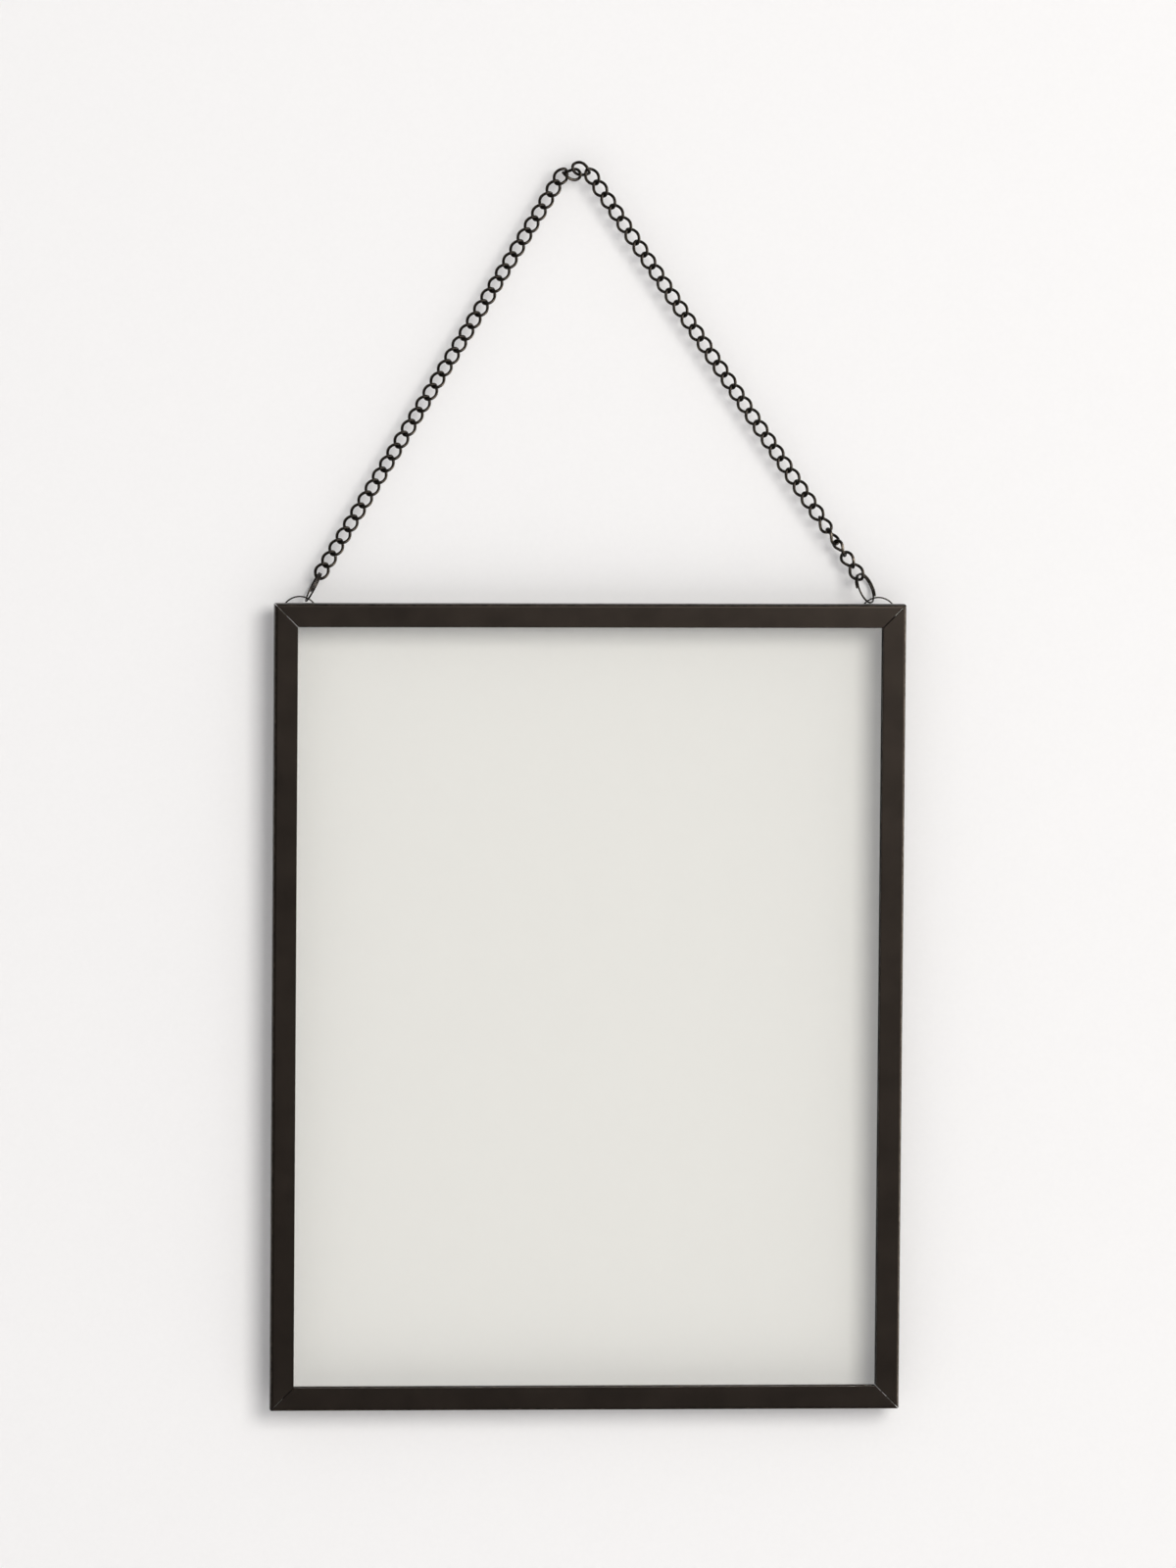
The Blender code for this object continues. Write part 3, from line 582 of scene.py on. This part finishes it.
def link(half_length):
    """A link's grid: its line is (w sin u cos f, w sin u sin f, h cos u) with f = twist cos u.

    A second value gives, from 0 to 1, how far each point stands out from the link's middle line,
    where the chain rubs.
    """
    u = np.linspace(0, 2 * np.pi, 41)[:-1]
    f = LINK_TWIST * np.cos(u)
    out = LINK_HALF_WIDTH * np.sin(u)
    path = np.stack([out * np.cos(f), out * np.sin(f), half_length * np.cos(u)], 1)
    gradient = path / np.array([LINK_HALF_WIDTH, LINK_HALF_WIDTH, half_length]) ** 2
    grid = wire(path, gradient, LINK_WIRE / 2, 12)
    stands = np.linalg.norm(grid[..., :2], axis=-1) / (LINK_HALF_WIDTH + LINK_WIRE / 2)
    return grid, np.clip((stands - 0.72) / 0.28, 0, 1)


# Gunmetal-black plating on steel wire: nearly black in the hollows, worn in small patches to a
# warm grey on the outsides of the links.
PLATING_PATCH = 1.1 * MM
chain_steel, tree, shader = finish_start("gunmetal_plated_wire", Metallic=0.9)
place = add_node(tree, "ShaderNodeTexCoord").outputs["Object"]
patch = add_node(tree, "ShaderNodeTexNoise", {"Vector": place, "Scale": 1 / PLATING_PATCH, "Detail": 5.0,
                                              "Roughness": 0.7}).outputs["Fac"]
rubbed = add_node(tree, "ShaderNodeAttribute", attribute_name="wear").outputs["Fac"]
rub = add_node(tree, "ShaderNodeMath", {0: rubbed, 1: patch}, operation="MULTIPLY").outputs[0]
rub = add_node(tree, "ShaderNodeMapRange", {"Value": rub, "From Min": 0.2, "From Max": 0.6,
                                            "To Max": 0.75}).outputs[0]
colour = add_node(tree, "ShaderNodeMix", {"Factor": rub, 6: linear("#1b1713"), 7: linear("#5d554b")},
                  data_type="RGBA").outputs[2]
dull = add_node(tree, "ShaderNodeMapRange", {"Value": patch, "From Min": 0.3, "From Max": 0.7,
                                             "To Min": 0.28, "To Max": 0.42}).outputs[0]
finish_end(tree, shader, Base_Color=colour, Roughness=dull)


def chain_piece(name, grids, wears, node, body):
    """One mesh of one or more links, which stands for a CAD node and rides on its body."""
    made = surface(name, np.stack(grids), wrap=(True, True), attributes={"wear": np.stack(wears)})
    made.data.materials.append(chain_steel)
    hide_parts(node)
    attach(made, body)


strand_top = {}
for side, foot in strand_foot.items():
    top = np.array([frame_centre[0] + STRAND_TOP_X[side], 0, frame_high[2] + STRAND_TOP])
    strand_top[side] = top
    pitch = np.linalg.norm(top - foot) / LINKS
    up = (top - foot) / np.linalg.norm(top - foot)
    lean = math.degrees(math.atan2(up[0], up[2]))
    grid, wear = link((pitch + LINK_WIRE) / 2)
    index = 0
    for number, size in enumerate(NODE_LINKS, start=1):
        grids = []
        for i in range(index, index + size):
            kink = 180 * max(0, KINK_LINKS - i) / KINK_LINKS if side == "right" else 0
            grids.append(grid @ (about_y(lean) @ about("Z", kink)).T + foot + up * pitch * (i + 0.5))
        index += size
        part_of = f"{side}_{number:02d}"
        chain_piece("links_" + part_of, grids, [wear] * size, "chain_" + part_of, NODE_BODIES[number - 1])

# ---------------------------------------------------------------- the two links at the nail
# The top link rests on the nail and lies nearly level; the one beside it joins the left strand.

END_HALF_LENGTH = (LINK_PITCH + LINK_WIRE + LINK_SEAT) / 2
END_LINKS = {
    # name: node, strand, middle from the strand's top, tilt, roll and lean in degrees
    "top_link": ("chain_apex", "right", (-2.74, -0.44, 0.54), -65.5, -19.9, -3.7),
    "side_link": ("chain_apex_side", "left", (2.96, 0.18, -1.39), 99.7, -40.1, 20.1),
}
for name, (node, strand, offset, tilt, roll, lean) in END_LINKS.items():
    grid, wear = link(END_HALF_LENGTH)
    turn = about_y(tilt) @ about("X", lean) @ about("Z", roll)
    middle = strand_top[strand] + np.array(offset) * MM
    chain_piece(name, [grid @ turn.T + middle], [wear], node, "chain_top")

# ---------------------------------------------------------------- the wall and the floor
# A painted wall close behind the frame curves into a floor.  From behind, the wall is clear.

WALL_Y = 7.8 * MM
WALL_TOP = 2.5
WALL_MIDDLE = 0.5
FLOOR_Z = -1.15
FLOOR_FRONT = -5.0
COVE = 0.35                     # radius between wall and floor
HALF_SPREAD = 4.0
cove = np.linspace(0, np.pi / 2, 17)
sweep = np.concatenate([
    [(WALL_Y, WALL_TOP), (WALL_Y, WALL_MIDDLE)],
    np.stack([WALL_Y - COVE + COVE * np.cos(cove), FLOOR_Z + COVE - COVE * np.sin(cove)], 1),
    [(FLOOR_FRONT * 0.4, FLOOR_Z), (FLOOR_FRONT, FLOOR_Z)]])
x = np.linspace(-HALF_SPREAD, HALF_SPREAD, 3)
backdrop_grid = np.stack([x[None] + 0 * sweep[:, :1], sweep[:, :1] + 0 * x[None],
                          sweep[:, 1:] + 0 * x[None]], -1)
backdrop = surface("backdrop", backdrop_grid[None], wrap=(False, False))
if backdrop.data.polygons[0].normal.y > 0:
    backdrop.data.flip_normals()

# Matt wall paint, with the fine light and dark of roller stipple.
STIPPLE = 1.4 * MM
paint, tree, shader = finish_start("matt_wall_paint", Roughness=0.9, Specular_IOR_Level=0.2)
place = add_node(tree, "ShaderNodeTexCoord").outputs["Object"]
stipple = add_node(tree, "ShaderNodeTexNoise", {"Vector": place, "Scale": 1 / STIPPLE,
                                                "Detail": 2.0}).outputs["Fac"]
colour = add_node(tree, "ShaderNodeMix", {"Factor": stipple, 6: linear("#f3f2f2"), 7: linear("#f6f5f5")},
                  data_type="RGBA").outputs[2]
finish_end(tree, shader, Base_Color=colour)
behind = add_node(tree, "ShaderNodeNewGeometry").outputs["Backfacing"]
lamp_ray = add_node(tree, "ShaderNodeLightPath").outputs["Is Shadow Ray"]
open_wall = add_node(tree, "ShaderNodeMath", {0: behind, 1: lamp_ray}, operation="MAXIMUM").outputs[0]
clear = add_node(tree, "ShaderNodeBsdfTransparent").outputs[0]
seen = add_node(tree, "ShaderNodeMixShader", {0: open_wall, 1: shader.outputs[0], 2: clear}).outputs[0]
tree.links.new(seen, tree.nodes["Material Output"].inputs["Surface"])
backdrop.data.materials.append(paint)

# ---------------------------------------------------------------- light
# One broad soft lamp up and to the right in front of the wall, two narrow ones on the right that
# light no surface and only shine in the metal, and an even pale room.

LAMPS = {       # place, width, height and watts
    "window": ((1.6, -4.6, 1.3), 2.4, 2.2, 134.0),
    "strip": ((0.45, -0.9, 0.15), 0.10, 0.5, 14.0),
    "edge": ((1.3, -0.35, -0.1), 0.30, 1.4, 40.0),
}
LAMP_AIM = np.array([0.0, 0.0, -0.25])
ROOM_STRENGTH = 0.48


def facing(place, aim, roll=0.0):
    """World matrix of a lamp or camera at place that looks at aim, rolled by degrees."""
    back = place - aim
    back /= np.linalg.norm(back)
    right = np.cross([0, 0, 1], back)
    right /= np.linalg.norm(right)
    up = np.cross(back, right)
    c, s = math.cos(math.radians(roll)), math.sin(math.radians(roll))
    matrix = np.eye(4)
    matrix[:3, :3] = np.stack([c * right + s * up, -s * right + c * up, back], 1)
    matrix[:3, 3] = place
    return Matrix(matrix.tolist())


for name, (place, width, height, watts) in LAMPS.items():
    lamp_data = bpy.data.lights.new(name, "AREA")
    lamp_data.shape, lamp_data.size, lamp_data.size_y = "RECTANGLE", width, height
    lamp_data.energy, lamp_data.color = watts, linear("#fffdf9")[:3]
    lamp = bpy.data.objects.new(name, lamp_data)
    bpy.context.scene.collection.objects.link(lamp)
    lamp.matrix_world = facing(np.array(place), LAMP_AIM)
    lamp.visible_diffuse = name == "window"
room = bpy.data.worlds.new("room")
room.use_nodes = True
room.node_tree.nodes["Background"].inputs["Color"].default_value = linear("#f2f3f6")
room.node_tree.nodes["Background"].inputs["Strength"].default_value = ROOM_STRENGTH
bpy.context.scene.world = room
bpy.context.scene.view_settings.view_transform = "Standard"

# ---------------------------------------------------------------- camera
# A long lens a little to the left of the frame and a little above it.

AZIMUTH, ELEVATION, ROLL = -5.15, 4.75, 0.45
DISTANCE, LENS = 5.0, 290.7
AIM = np.array([0.0069, -0.005, -0.2437])
a, e = math.radians(AZIMUTH), math.radians(ELEVATION)
towards = np.array([math.sin(a) * math.cos(e), -math.cos(a) * math.cos(e), math.sin(e)])
camera_data = bpy.data.cameras.new("camera")
camera_data.lens, camera_data.sensor_width = LENS, 36.0
camera_data.clip_start, camera_data.clip_end = 0.1, 50.0
camera = bpy.data.objects.new("camera", camera_data)
bpy.context.scene.collection.objects.link(camera)
camera.matrix_world = facing(AIM + towards * DISTANCE, AIM, ROLL)
bpy.context.scene.camera = camera
